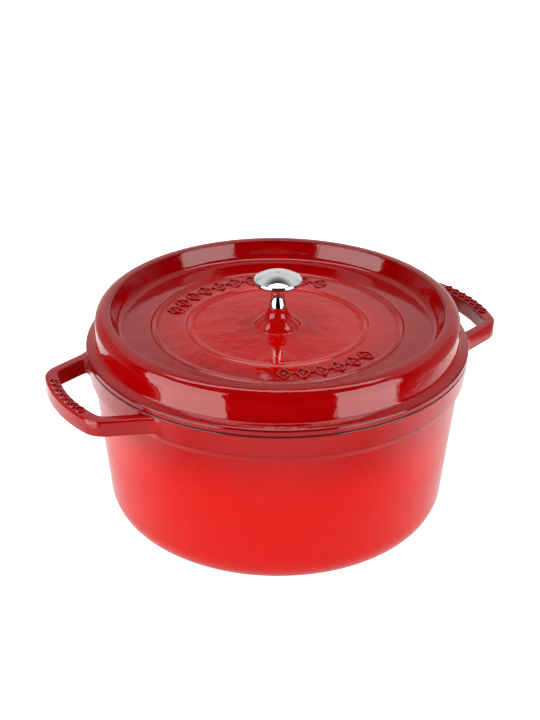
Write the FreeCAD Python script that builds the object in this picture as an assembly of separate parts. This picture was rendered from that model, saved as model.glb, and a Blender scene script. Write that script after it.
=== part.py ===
import FreeCAD, Part
import math
import os

# Round cast iron dutch oven, in millimetres. The origin is the middle of the underside of the base,
# +Z is up, and the two loop handles lie along X. Every piece is drawn with the lid closed.

# ---- driving dimensions ----

# pot: one casting, with its two handles
POT_RIM_RADIUS = 143.0      # outside of the rim
POT_HEIGHT = 134.5          # underside of the base to the rim
POT_WALL = 3.5
POT_BASE = 4.5              # thickness of the base
POT_CORNER = 24.0           # outside radius between base and wall
POT_DRAFT = 6.0             # lean of the wall outwards, degrees
COLLAR_HEIGHT = 20.0        # rim to the middle of the step under the thicker collar
COLLAR_PROUD = 3.3          # how far the collar stands out of the wall
COLLAR_STEP = 5.0           # height over which the wall steps out to the collar
FOOT_WIDTH = 12.0           # ring that the pot stands on
FOOT_DEPTH = 0.8            # recess inside that ring

HANDLE_STANDOFF = 35.4      # rim to the outermost point of a handle
HANDLE_CURVE = 121.0        # radius of the handle's outer edge
HANDLE_BAR = 10.0           # width of the gripped bar
HANDLE_LEG = 8.5            # width of the two legs
HANDLE_HALF_WIDTH = 44.0    # middle to the outer corner of a leg, where it meets the bar
HANDLE_SPLAY = 20.0         # legs spread towards the wall, degrees
HANDLE_THICKNESS = 13.0
HANDLE_BELOW_RIM = 1.6      # rim to the handle's top face
HANDLE_CORNER = 8.0         # outer corners, seen from above
HANDLE_EDGE = 2.5           # rounding of the handle's long edges

# lid: one casting
LID_SEAT_GAP = 0.3          # between rim and lid, so that the two never overlap
LID_WALL = 3.5              # floor of the lid, and the raised ring's inner side
LID_FLANGE_HEIGHT = 4.6     # upright edge of the flange
LID_FLANGE_STEP = 6.5       # flange's edge in to the foot of the upright wall
LID_FLANGE_RISE = 3.2       # flange's edge up to the foot of the upright wall
LID_RISE = 30.6             # rim to the top of the raised ring
LID_GROOVE_DEPTH = 14.0     # hollow under the raised ring, above the lid's underside
LID_WALL_LEAN = 1.0         # foot of the upright wall stands this far outside its top
LID_RING_WIDTH = 11.0       # raised ring, across its top
LID_RING_SHOULDER = 8.0     # rounding of the ring's outer top edge
LID_RING_LIP = 2.0          # rounding of its inner top edge
LID_WELL_DEPTH = 15.1       # top of the raised ring down to the floor
LID_WELL_SLOPE = 5.5        # inner side of the ring runs in this far
LID_WELL_CORNER = 6.0       # rounding between that side and the floor
LID_RIB_DEPTH = 4.0         # locating rib inside the pot's mouth
LID_RIB_WIDTH = 3.5
LID_RIB_CLEARANCE = 1.2
BEAD_RADII = (66.6, 93.0)   # two raised beads on the lid's floor
BEAD_WIDTH = 5.0
BEAD_HEIGHT = 1.2
BOSS_RISE = 15.5            # lid's floor to the seat of the knob
BOSS_TOP_RADIUS = 7.2
BOSS_SPREAD = 10.4          # boss's top edge out to where its hollow flank meets the floor
BOSS_FOOT_ANGLE = 48.0      # slope of the flank where it meets the floor, degrees
BOSS_FOOT_PULL = 4.5        # how far in from the foot the flank's pole lies on that slope
BOSS_TOP_PULL = 8.5         # how far under the boss's top edge its other pole lies

# knob and its screw
KNOB_RADIUS = 17.7
KNOB_HEIGHT = 27.9
KNOB_FOOT_RADIUS = 7.0
KNOB_WAIST_RADIUS = 5.3
KNOB_RIM = 3.0              # thickness of the disc at its edge
KNOB_RIM_BULGE = 0.4        # how far the middle of that edge stands out
KNOB_DOME = 5.6             # rise of the disc's top
KNOB_FLARE = 7.0            # height over which the stem opens into the disc
SCREW_RADIUS = 3.0
SCREW_ENGAGEMENT = 12.0     # length of screw inside the knob
SCREW_HEAD_RADIUS = 5.6
SCREW_HEAD_HEIGHT = 3.6
SCREW_SLOT_LENGTH = 7.0
SCREW_SLOT_WIDTH = 1.2
SCREW_SLOT_DEPTH = 2.2
WASHER_RADIUS = 9.0
WASHER_THICKNESS = 1.2
LOCK_WASHER_RADIUS = 5.4
LOCK_WASHER_THICKNESS = 1.6
LOCK_WASHER_SPLIT = 1.0
THREAD_CLEARANCE = 0.05     # screw to the knob's hole
TURN_CLEARANCE = 0.1        # screw to the lid's hole
TURN_GAP = 0.2              # lid to the knob above it and to the washer below it

EDGE = 1.5                  # rounding of the castings' small edges
SEAM_EDGE = 0.8             # rounding of the rim and the flange where the lid meets the pot

# ---- levels and radii that follow from them ----

LEAN = math.tan(math.radians(POT_DRAFT))
MOUTH_RADIUS = POT_RIM_RADIUS - COLLAR_PROUD - POT_WALL
LID_SEAT = POT_HEIGHT + LID_SEAT_GAP
LID_TOP = POT_HEIGHT + LID_RISE
LID_FLOOR = LID_TOP - LID_WELL_DEPTH
LID_UNDERSIDE = LID_FLOOR - LID_WALL
LID_FOOT_RADIUS = POT_RIM_RADIUS - LID_FLANGE_STEP
LID_RING_OUTER = LID_FOOT_RADIUS - LID_WALL_LEAN
LID_RING_INNER = LID_RING_OUTER - LID_RING_WIDTH
LID_WELL_RADIUS = LID_RING_INNER - LID_WELL_SLOPE
BOSS_TOP = LID_FLOOR + BOSS_RISE
HANDLE_TOP = POT_HEIGHT - HANDLE_BELOW_RIM
HANDLE_REACH = POT_RIM_RADIUS + HANDLE_STANDOFF
UP = FreeCAD.Vector(0, 0, 1)


def wall_radius(z):
    """Outside radius of the leaning wall at height z, with no collar."""
    return POT_RIM_RADIUS - COLLAR_PROUD - LEAN * (POT_HEIGHT - z)


def collar_radius(z):
    """Outside radius of the collar at height z."""
    return POT_RIM_RADIUS - LEAN * (POT_HEIGHT - z)


def well_radius(z):
    """Radius of the raised ring's sloping inner side at height z."""
    return LID_WELL_RADIUS + LID_WELL_SLOPE * (z - LID_FLOOR) / LID_WELL_DEPTH


# ---- drawing tools ----

def rounded_outline(corners):
    """Closed wire through corners (point, rounding).

    A rounding's arc touches both sides at rounding / tan(half the angle) from the corner.
    """
    cuts = []
    for i, (corner, radius) in enumerate(corners):
        before = (corners[i - 1][0] - corner).normalize()
        after = (corners[(i + 1) % len(corners)][0] - corner).normalize()
        if not radius:
            cuts.append((corner, None, corner))
            continue
        half = before.getAngle(after) / 2
        inward = (before + after).normalize()
        reach = radius / math.tan(half)
        middle = corner + inward * (radius / math.sin(half) - radius)
        cuts.append((corner + before * reach, middle, corner + after * reach))
    edges = []
    for i, (start, middle, end) in enumerate(cuts):
        if middle:
            edges.append(Part.Arc(start, middle, end).toShape())
        following = cuts[(i + 1) % len(cuts)][0]
        edges.append(Part.LineSegment(end, following).toShape())
    return Part.Wire(edges)


def turned(corners):
    """Solid of revolution about Z from corners (radius, height, rounding)."""
    outline = rounded_outline([(FreeCAD.Vector(r, 0, z), rounding) for r, z, rounding in corners])
    return Part.Face(outline).revolve(FreeCAD.Vector(), UP, 360)


def plate(corners, bottom, thickness):
    """Flat plate from corners (x, y, rounding), lifted to bottom."""
    outline = rounded_outline([(FreeCAD.Vector(x, y, bottom), rounding) for x, y, rounding in corners])
    return Part.Face(outline).extrude(UP * thickness)


def rod(radius, bottom, top):
    """Upright cylinder on the axis."""
    return Part.makeCylinder(radius, top - bottom, FreeCAD.Vector(0, 0, bottom))


# ---- pot ----

def pot_body():
    """Cup with a leaning wall, a swept corner, a thicker collar and a foot ring."""
    step_middle = POT_HEIGHT - COLLAR_HEIGHT
    step_low = step_middle - COLLAR_STEP / 2
    step_high = step_middle + COLLAR_STEP / 2
    foot_outer = wall_radius(0)
    foot_inner = foot_outer - POT_CORNER - FOOT_WIDTH
    return turned([
        (0, FOOT_DEPTH, 0),
        (foot_inner, FOOT_DEPTH, 0),
        (foot_inner, 0, 0),
        (foot_outer, 0, POT_CORNER),
        (wall_radius(step_low), step_low, COLLAR_STEP / 2),
        (collar_radius(step_high), step_high, COLLAR_STEP / 2),
        (POT_RIM_RADIUS, POT_HEIGHT, SEAM_EDGE),
        (MOUTH_RADIUS, POT_HEIGHT, EDGE),
        (wall_radius(POT_BASE) - POT_WALL, POT_BASE, POT_CORNER - POT_WALL),
        (0, POT_BASE, 0)])


def pot_cavity():
    """Space inside the pot, up to the rim."""
    return turned([
        (0, POT_BASE, 0),
        (wall_radius(POT_BASE) - POT_WALL, POT_BASE, POT_CORNER - POT_WALL),
        (MOUTH_RADIUS, POT_HEIGHT, 0),
        (0, POT_HEIGHT, 0)])


def handle_shape(reach, half_width, corner, bottom, thickness):
    """Plate of a handle, with legs spread by the splay and an outer edge curved about the pot's side."""
    splay = math.tan(math.radians(HANDLE_SPLAY))
    centre = FreeCAD.Vector(HANDLE_REACH - HANDLE_CURVE, 0, bottom)
    shoulder = HANDLE_REACH - HANDLE_CURVE + math.sqrt(HANDLE_CURVE ** 2 - HANDLE_HALF_WIDTH ** 2)
    wide = half_width + splay * (shoulder - centre.x)
    narrow = half_width - splay * (HANDLE_REACH - shoulder)
    slab = plate([(centre.x, -wide, 0), (HANDLE_REACH, -narrow, 0), (HANDLE_REACH, narrow, 0),
                  (centre.x, wide, 0)], bottom, thickness)
    disc = Part.makeCylinder(reach - centre.x, thickness, centre)
    shape = slab.common(disc)
    outer_corners = [edge for edge in shape.Edges
                     if abs(edge.tangentAt(edge.FirstParameter).z) > 0.9 and edge.CenterOfMass.x > MOUTH_RADIUS]
    return shape.makeFillet(corner, outer_corners)


def handle():
    """One loop handle on the +X side, its long edges rounded, with roots that end inside the pot's wall."""
    bottom = HANDLE_TOP - HANDLE_THICKNESS
    leg_across = HANDLE_LEG / math.cos(math.radians(HANDLE_SPLAY))
    outside = handle_shape(HANDLE_REACH, HANDLE_HALF_WIDTH, HANDLE_CORNER, bottom, HANDLE_THICKNESS)
    opening = handle_shape(HANDLE_REACH - HANDLE_BAR, HANDLE_HALF_WIDTH - leg_across,
                           HANDLE_CORNER / 2, bottom, HANDLE_THICKNESS)
    loop = outside.cut(opening)
    long_edges = [edge for edge in loop.Edges
                  if abs(edge.tangentAt(edge.FirstParameter).z) < 0.1 and edge.BoundBox.XMax > POT_RIM_RADIUS]
    loop = loop.makeFillet(HANDLE_EDGE, long_edges)
    return loop.cut(pot_cavity())


def pot():
    """Pot with both handles, one casting."""
    right = handle()
    left = right.mirror(FreeCAD.Vector(), FreeCAD.Vector(1, 0, 0))
    return pot_body().fuse([right, left]).removeSplitter()


# ---- lid ----

def lid_body():
    """Lid: flange, upright wall, raised ring, sunken floor, locating rib and a hollow flanked boss."""
    flange_top = LID_SEAT + LID_FLANGE_HEIGHT
    foot = flange_top + LID_FLANGE_RISE
    rib_outer = MOUTH_RADIUS - LID_RIB_CLEARANCE
    rib_bottom = LID_SEAT - LID_RIB_DEPTH
    rib_inner = rib_outer - LID_RIB_WIDTH
    groove_top = LID_UNDERSIDE + LID_GROOVE_DEPTH
    across = LID_WALL * math.hypot(LID_WELL_SLOPE, LID_WELL_DEPTH) / LID_WELL_DEPTH
    hole = SCREW_RADIUS + TURN_CLEARANCE
    return turned([
        (hole, LID_UNDERSIDE, 0),
        (well_radius(LID_UNDERSIDE) + across, LID_UNDERSIDE, LID_WELL_CORNER + LID_WALL),
        (well_radius(groove_top) + across, groove_top, EDGE),
        (rib_inner, groove_top, EDGE),
        (rib_inner, rib_bottom, EDGE),
        (rib_outer - LEAN * LID_RIB_DEPTH, rib_bottom, EDGE),
        (rib_outer, LID_SEAT, 0),
        (POT_RIM_RADIUS, LID_SEAT, SEAM_EDGE),
        (POT_RIM_RADIUS, flange_top, EDGE),
        (LID_FOOT_RADIUS, foot, EDGE),
        (LID_RING_OUTER, LID_TOP, LID_RING_SHOULDER),
        (LID_RING_INNER, LID_TOP, LID_RING_LIP),
        (LID_WELL_RADIUS, LID_FLOOR, LID_WELL_CORNER),
        (hole, LID_FLOOR, 0)])


def boss():
    """Boss under the knob: its hollow flank starts upright and meets the lid's floor at a slope."""
    hole = SCREW_RADIUS + TURN_CLEARANCE
    foot_radius = BOSS_TOP_RADIUS + BOSS_SPREAD
    top = FreeCAD.Vector(BOSS_TOP_RADIUS, 0, BOSS_TOP)
    foot = FreeCAD.Vector(foot_radius, 0, LID_FLOOR)
    flank = Part.BezierCurve()
    climb = BOSS_FOOT_PULL * math.tan(math.radians(BOSS_FOOT_ANGLE))
    flank.setPoles([top, top - FreeCAD.Vector(0, 0, BOSS_TOP_PULL),
                    foot + FreeCAD.Vector(-BOSS_FOOT_PULL, 0, climb), foot])
    low = LID_UNDERSIDE + LID_WALL / 2
    corners = [foot, FreeCAD.Vector(foot_radius, 0, low), FreeCAD.Vector(hole, 0, low),
               FreeCAD.Vector(hole, 0, BOSS_TOP), top]
    edges = [Part.LineSegment(a, b).toShape() for a, b in zip(corners, corners[1:])]
    edges.append(flank.toShape())
    return Part.Face(Part.Wire(edges)).revolve(FreeCAD.Vector(), UP, 360)


def bead(radius):
    """Raised bead round the lid's floor: a flat arc, turned about the axis."""
    half = BEAD_WIDTH / 2
    start = FreeCAD.Vector(radius - half, 0, LID_FLOOR)
    crown = FreeCAD.Vector(radius, 0, LID_FLOOR + BEAD_HEIGHT)
    end = FreeCAD.Vector(radius + half, 0, LID_FLOOR)
    keel = FreeCAD.Vector(radius, 0, LID_FLOOR - BEAD_HEIGHT)
    edges = [Part.Arc(start, crown, end).toShape(), Part.Arc(end, keel, start).toShape()]
    return Part.Face(Part.Wire(edges)).revolve(FreeCAD.Vector(), UP, 360)


def lid():
    """Lid with its boss and beads, one casting."""
    beads = [bead(radius) for radius in BEAD_RADII]
    return lid_body().fuse([boss()] + beads).removeSplitter()


# ---- knob, screw and washers ----

KNOB_SEAT = BOSS_TOP + TURN_GAP
WASHER_TOP = LID_UNDERSIDE - TURN_GAP
LOCK_WASHER_TOP = WASHER_TOP - WASHER_THICKNESS
SCREW_HEAD_TOP = LOCK_WASHER_TOP - LOCK_WASHER_THICKNESS


def knob():
    """Mushroom knob: waisted stem under a domed disc, with a blind screw hole from below."""
    top = KNOB_SEAT + KNOB_HEIGHT
    edge_top = top - KNOB_DOME
    edge_bottom = edge_top - KNOB_RIM
    waist = edge_bottom - KNOB_FLARE
    stem = [FreeCAD.Vector(KNOB_FOOT_RADIUS, 0, KNOB_SEAT), FreeCAD.Vector(KNOB_WAIST_RADIUS, 0, waist)]
    flare = Part.BezierCurve()
    flare.setPoles([stem[1], FreeCAD.Vector(KNOB_WAIST_RADIUS, 0, edge_bottom - KNOB_RIM),
                    FreeCAD.Vector(KNOB_RADIUS * 0.6, 0, edge_bottom - KNOB_RIM),
                    FreeCAD.Vector(KNOB_RADIUS, 0, edge_bottom)])
    half = KNOB_RADIUS / 2
    sphere = (KNOB_RADIUS ** 2 + KNOB_DOME ** 2) / (2 * KNOB_DOME)
    crown = FreeCAD.Vector(half, 0, top - sphere + math.sqrt(sphere ** 2 - half ** 2))
    rim_top = FreeCAD.Vector(KNOB_RADIUS, 0, edge_top)
    rim_middle = FreeCAD.Vector(KNOB_RADIUS + KNOB_RIM_BULGE, 0, (edge_top + edge_bottom) / 2)
    peak = FreeCAD.Vector(0, 0, top)
    foot = FreeCAD.Vector(0, 0, KNOB_SEAT)
    edges = [Part.LineSegment(foot, stem[0]).toShape(), Part.LineSegment(stem[0], stem[1]).toShape(),
             flare.toShape(),
             Part.Arc(FreeCAD.Vector(KNOB_RADIUS, 0, edge_bottom), rim_middle, rim_top).toShape(),
             Part.Arc(rim_top, crown, peak).toShape(), Part.LineSegment(peak, foot).toShape()]
    body = Part.Face(Part.Wire(edges)).revolve(FreeCAD.Vector(), UP, 360)
    return body.cut(rod(SCREW_RADIUS + THREAD_CLEARANCE, KNOB_SEAT, KNOB_SEAT + SCREW_ENGAGEMENT + EDGE))


def knob_screw():
    """Pan head screw with a cross slot, put in from under the lid."""
    bottom = SCREW_HEAD_TOP - SCREW_HEAD_HEIGHT
    head = turned([(0, bottom, 0), (SCREW_HEAD_RADIUS, bottom, EDGE), (SCREW_HEAD_RADIUS, SCREW_HEAD_TOP, 0),
                   (0, SCREW_HEAD_TOP, 0)])
    shank = rod(SCREW_RADIUS, SCREW_HEAD_TOP, KNOB_SEAT + SCREW_ENGAGEMENT)
    slots = [Part.makeBox(length, width, SCREW_SLOT_DEPTH, FreeCAD.Vector(-length / 2, -width / 2, bottom))
             for length, width in ((SCREW_SLOT_LENGTH, SCREW_SLOT_WIDTH), (SCREW_SLOT_WIDTH, SCREW_SLOT_LENGTH))]
    return head.fuse(shank).cut(slots[0].fuse(slots[1])).removeSplitter()


def ring(outer, bottom, thickness):
    """Flat ring that the screw passes through."""
    return rod(outer, bottom, bottom + thickness).cut(
        rod(SCREW_RADIUS + TURN_CLEARANCE, bottom, bottom + thickness))


def knob_washer():
    """Flat washer against the underside of the lid."""
    return ring(WASHER_RADIUS, LOCK_WASHER_TOP, WASHER_THICKNESS)


def knob_lock_washer():
    """Split spring washer between the flat washer and the screw's head."""
    split = Part.makeBox(LOCK_WASHER_RADIUS, LOCK_WASHER_SPLIT, LOCK_WASHER_THICKNESS,
                         FreeCAD.Vector(0, -LOCK_WASHER_SPLIT / 2, SCREW_HEAD_TOP))
    return ring(LOCK_WASHER_RADIUS, SCREW_HEAD_TOP, LOCK_WASHER_THICKNESS).cut(split)


PIECES = {"pot": pot, "lid": lid, "knob": knob, "knob_screw": knob_screw,
          "knob_washer": knob_washer, "knob_lock_washer": knob_lock_washer}

os.makedirs("parts", exist_ok=True)
for name, make in PIECES.items():
    shape = make()
    shape.exportStep(f"parts/{name}.step")
    box = shape.optimalBoundingBox()
    print(f"{name}: {len(shape.Solids)} solid, {shape.Volume / 1000:.1f} cm3, valid {shape.isValid()}, "
          f"x {box.XMin:.1f} {box.XMax:.1f}, y {box.YMin:.1f} {box.YMax:.1f}, z {box.ZMin:.1f} {box.ZMax:.1f}")
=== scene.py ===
import bpy
import numpy as np
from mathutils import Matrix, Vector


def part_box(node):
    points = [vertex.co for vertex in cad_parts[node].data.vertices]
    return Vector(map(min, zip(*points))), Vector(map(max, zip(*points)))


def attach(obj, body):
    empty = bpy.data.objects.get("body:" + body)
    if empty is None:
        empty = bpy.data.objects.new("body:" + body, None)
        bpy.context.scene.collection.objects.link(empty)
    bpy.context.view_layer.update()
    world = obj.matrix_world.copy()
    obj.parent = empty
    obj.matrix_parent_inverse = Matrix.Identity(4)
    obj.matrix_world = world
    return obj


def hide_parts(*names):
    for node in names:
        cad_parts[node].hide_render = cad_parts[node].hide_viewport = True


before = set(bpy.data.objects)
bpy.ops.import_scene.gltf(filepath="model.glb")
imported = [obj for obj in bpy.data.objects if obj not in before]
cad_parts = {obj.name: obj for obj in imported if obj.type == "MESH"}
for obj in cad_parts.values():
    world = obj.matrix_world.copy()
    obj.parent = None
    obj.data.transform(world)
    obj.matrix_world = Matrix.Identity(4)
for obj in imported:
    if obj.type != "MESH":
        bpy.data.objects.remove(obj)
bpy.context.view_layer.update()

# ---- Pot ----
# The body of the pot is one sand casting in grey iron: a leaning wall that swells into a thicker collar.
# The outside is sprayed and fired with glossy red enamel that darkens towards the collar and the handles.
# The inside, the rim and the underside are sprayed with matt black enamel.

pot_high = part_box("pot")[1]
lid_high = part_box("lid")[1]
RIM_HEIGHT = pot_high.z
RIM_RADIUS = lid_high.x
LEAN = 0.1051                # the wall moves out this much for each metre up
COLLAR_PROUD = 0.0033
COLLAR_MIDDLE = RIM_HEIGHT - 0.020
COLLAR_STEP = 0.005
POT_WALL = 0.0035
POT_BASE = 0.0045
POT_CORNER = 0.024
FOOT_WIDTH = 0.012
FOOT_DEPTH = 0.0008
CASTING_EDGE = 0.0015
SEAM_EDGE = 0.0008           # rounding of the rim and the flange where the lid meets the pot
SEGMENTS = 360               # round the axis
RUN_STEP = 0.004             # mean length of the pieces of a long side
ARC_STEP = np.radians(11)    # longest piece of a rounding
BARE_EDGE = 0.0015           # enamel draws back fully from an outer edge with this rounding or less
SHARP_THIN = 0.5             # and by this share from an outer corner with none
DEEP_HEIGHTS = (0.068, 0.124)    # the red goes from bright to deep between these heights
DEEPEST = 0.8                # share of the deep red that the collar and the handles reach

RED_BRIGHT = "C70900"
RED_DEEP = "930002"
RED_THIN = "4E0103"
GROUND_BLACK = "0F0E0E"
GROUND_GREY = "262423"


def linear(hex_colour):
    """RGBA in linear light from an sRGB hex colour.

    Each channel s becomes (s + 0.055) / 1.055 to the power 2.4, or s / 12.92 where it is dark.
    """
    srgb = np.array([int(hex_colour[i:i + 2], 16) for i in (0, 2, 4)]) / 255
    light = np.where(srgb > 0.04045, ((srgb + 0.055) / 1.055) ** 2.4, srgb / 12.92)
    return (*light.tolist(), 1.0)


def smooth(low, high, x):
    """0 below low, 1 above high, and the cubic 3t^2 - 2t^3 between them."""
    t = np.clip((x - low) / (high - low), 0, 1)
    return t * t * (3 - 2 * t)


def outline(corners, closed=False):
    """Points (radius, height) along straight sides and rounded corners, and how thin enamel lies at each.

    A corner is (radius, height, rounding), with the metal on the left of the way round. Its arc turns
    from one side's direction to the next, centred on the corner's inner side. A side's points crowd
    towards its ends as a cosine does. Enamel draws back from an outer edge as BARE_EDGE over its
    rounding, at most 1.
    """
    corners = np.array(corners, float)
    place, rounding = corners[:, :2], corners[:, 2]
    before = place - np.roll(place, 1, 0)
    before /= np.linalg.norm(before, axis=1)[:, None]
    after = np.roll(before, -1, 0)
    turn = np.arctan2(before[:, 0] * after[:, 1] - before[:, 1] * after[:, 0], (before * after).sum(1))
    if not closed:
        turn[[0, -1]] = 0
    reach = rounding * np.tan(abs(turn) / 2)
    start, end = place - before * reach[:, None], place + after * reach[:, None]
    points, thin = [], []
    for i in range(len(place)):
        if rounding[i] and turn[i]:
            angle = np.linspace(0, turn[i], int(abs(turn[i]) / ARC_STEP) + 3)
            heading = np.arctan2(before[i, 1], before[i, 0]) + angle
            side = np.sign(turn[i]) * rounding[i]
            left = np.column_stack([-np.sin(heading), np.cos(heading)])
            points.append(start[i] + side * (left[0] - left))
            thin.append(np.full(len(angle), np.clip(BARE_EDGE / rounding[i], 0, 1) * (turn[i] > 0)))
        else:
            points.append(place[i:i + 1])
            thin.append(np.full(1, SHARP_THIN * (turn[i] > 0)))
        if closed or i + 1 < len(place):
            a, b = end[i], start[(i + 1) % len(place)]
            count = max(4, int(np.linalg.norm(b - a) / RUN_STEP) + 2)
            share = (1 - np.cos(np.pi * np.arange(1, count) / count)) / 2
            points.append(a + (b - a) * share[:, None])
            thin.append(np.zeros(count - 1))
    return np.concatenate(points), np.concatenate(thin)


def new_piece(name, points, quads, caps, materials, attributes=None, material_index=None):
    """A smooth shaded mesh object at the origin, from points, four-sided and other faces, and attributes."""
    mesh = bpy.data.meshes.new(name)
    mesh.from_pydata(points.tolist(), [], quads.tolist() + caps)
    mesh.polygons.foreach_set("use_smooth", np.ones(len(mesh.polygons), bool))
    for material in materials:
        mesh.materials.append(material)
    if material_index is not None:
        mesh.polygons.foreach_set("material_index", material_index.astype(np.int32))
    for key, values in (attributes or {}).items():
        mesh.attributes.new(key, "FLOAT", "POINT").data.foreach_set("value", values.astype(np.float32))
    mesh.update()
    piece = bpy.data.objects.new(name, mesh)
    bpy.context.scene.collection.objects.link(piece)
    return piece


def turned(profile, closed=False, segments=SEGMENTS):
    """Points and faces of a profile turned about Z: x = r cos(a), y = r sin(a), z = height.

    Each point of the profile gives one row. An open profile starts and ends on the axis, where its row is
    one point and its faces are triangles.
    """
    angle = 2 * np.pi * np.arange(segments) / segments
    rows = profile if closed else profile[1:-1]
    points = np.stack([rows[:, :1] * np.cos(angle), rows[:, :1] * np.sin(angle),
                       np.repeat(rows[:, 1:], segments, 1)], -1).reshape(-1, 3)
    across = np.arange(segments)
    beside = (across + 1) % segments
    row = np.arange(len(rows) if closed else len(rows) - 1)[:, None] * segments
    above = (row + segments) % len(points)
    quads = np.stack([row + across, row + beside, above + beside, above + across], -1).reshape(-1, 4)
    if closed:
        return points, quads, []
    first, last = len(points), len(points) + 1
    points = np.vstack([points, [[0, 0, profile[0, 1]], [0, 0, profile[-1, 1]]]])
    top = (len(rows) - 1) * segments
    caps = [[first, int(b), int(a)] for a, b in zip(across, beside)]
    caps += [[last, int(top + a), int(top + b)] for a, b in zip(across, beside)]
    return points, quads, caps


def add(material, kind, inputs=None, **settings):
    """Adds a node to a material or world, with its settings and its inputs' values or links."""
    tree = material.node_tree
    made = tree.nodes.new(kind)
    for key, value in settings.items():
        setattr(made, key, value)
    for key, value in (inputs or {}).items():
        if isinstance(value, bpy.types.NodeSocket):
            tree.links.new(value, made.inputs[key])
        else:
            made.inputs[key].default_value = value
    return made


def new_material(name):
    """An empty node material."""
    material = bpy.data.materials.new(name)
    material.use_nodes = True
    material.node_tree.nodes.clear()
    return material


def glossy_red_enamel():
    """Vitreous enamel: a red glass fired on in several sprayed coats.

    To the eye it is wet and deep, with the faint waviness of a sprayed and melted coat, bright where it
    is thick and lit, deeper where the last coat was sprayed, and nearly brown where it draws back from an
    edge.
    """
    m = new_material("glossy red vitreous enamel")
    place = add(m, "ShaderNodeTexCoord").outputs["Object"]
    deep = add(m, "ShaderNodeAttribute", attribute_name="deep").outputs["Fac"]
    thin = add(m, "ShaderNodeAttribute", attribute_name="thin").outputs["Fac"]
    # clouds about 30 mm across, from uneven spraying
    cloud = add(m, "ShaderNodeTexNoise", {"Vector": place, "Scale": 1 / 0.030, "Detail": 3.0,
                                          "Roughness": 0.55})
    cloudy = add(m, "ShaderNodeMath", {0: cloud.outputs["Fac"], 1: 0.34, 2: -0.17}, operation="MULTIPLY_ADD")
    shade = add(m, "ShaderNodeMath", {0: deep, 1: cloudy.outputs[0]}, operation="ADD", use_clamp=True)
    body = add(m, "ShaderNodeMix", {0: shade.outputs[0], 6: linear(RED_BRIGHT), 7: linear(RED_DEEP)},
               data_type="RGBA")
    # the draw back along an edge comes and goes over about 12 mm
    patchy = add(m, "ShaderNodeTexNoise", {"Vector": place, "Scale": 1 / 0.012, "Detail": 2.0})
    bare = add(m, "ShaderNodeMath", {0: thin, 1: patchy.outputs["Fac"]}, operation="MULTIPLY")
    colour = add(m, "ShaderNodeMix", {0: bare.outputs[0], 6: body.outputs[2], 7: linear(RED_THIN)},
                 data_type="RGBA")
    # orange peel about 3 mm from crest to crest, over a waviness of about 16 mm left by the sand mould
    peel = add(m, "ShaderNodeTexNoise", {"Vector": place, "Scale": 1 / 0.003, "Detail": 2.0})
    wave = add(m, "ShaderNodeTexNoise", {"Vector": place, "Scale": 1 / 0.016, "Detail": 1.0})
    rough = add(m, "ShaderNodeMapRange", {0: cloud.outputs["Fac"], 1: 0.3, 2: 0.7, 3: 0.045, 4: 0.095})
    fine = add(m, "ShaderNodeBump", {"Height": peel.outputs["Fac"], "Strength": 0.5, "Distance": 0.00014})
    relief = add(m, "ShaderNodeBump", {"Height": wave.outputs["Fac"], "Strength": 0.5, "Distance": 0.0003,
                                       "Normal": fine.outputs["Normal"]})
    shader = add(m, "ShaderNodeBsdfPrincipled", {
        "Base Color": colour.outputs[2], "Roughness": rough.outputs[0], "IOR": 1.45,
        "Normal": relief.outputs["Normal"]})
    add(m, "ShaderNodeOutputMaterial", {"Surface": shader.outputs["BSDF"]})
    return m


def matt_black_enamel():
    """Matt enamel: the ground coat with grit in it, fired on inside the pot and under the lid.

    To the eye it is a soft black like fine slate, with a grain that breaks the light up.
    """
    m = new_material("matt black enamel")
    place = add(m, "ShaderNodeTexCoord").outputs["Object"]
    # the real grain is about 0.3 mm; it is drawn 0.9 mm wide so that it shows
    grain = add(m, "ShaderNodeTexNoise", {"Vector": place, "Scale": 1 / 0.0009, "Detail": 2.0,
                                          "Roughness": 0.7})
    cloud = add(m, "ShaderNodeTexNoise", {"Vector": place, "Scale": 1 / 0.022, "Detail": 3.0})
    mixed = add(m, "ShaderNodeMath", {0: grain.outputs["Fac"], 1: cloud.outputs["Fac"]}, operation="MULTIPLY")
    level = add(m, "ShaderNodeMapRange", {0: mixed.outputs[0], 1: 0.12, 2: 0.42})
    colour = add(m, "ShaderNodeMix", {0: level.outputs[0], 6: linear(GROUND_BLACK), 7: linear(GROUND_GREY)},
                 data_type="RGBA")
    rough = add(m, "ShaderNodeMapRange", {0: grain.outputs["Fac"], 1: 0.3, 2: 0.7, 3: 0.42, 4: 0.6})
    relief = add(m, "ShaderNodeBump", {"Height": grain.outputs["Fac"], "Strength": 0.6, "Distance": 0.0002})
    shader = add(m, "ShaderNodeBsdfPrincipled", {
        "Base Color": colour.outputs[2], "Roughness": rough.outputs[0], "IOR": 1.5,
        "Normal": relief.outputs["Normal"]})
    add(m, "ShaderNodeOutputMaterial", {"Surface": shader.outputs["BSDF"]})
    return m


def wall_radius(z):
    """Outside of the leaning wall under the collar, at height z."""
    return RIM_RADIUS - COLLAR_PROUD - LEAN * (RIM_HEIGHT - z)


def collar_radius(z):
    """Outside of the collar at height z."""
    return RIM_RADIUS - LEAN * (RIM_HEIGHT - z)


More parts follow.
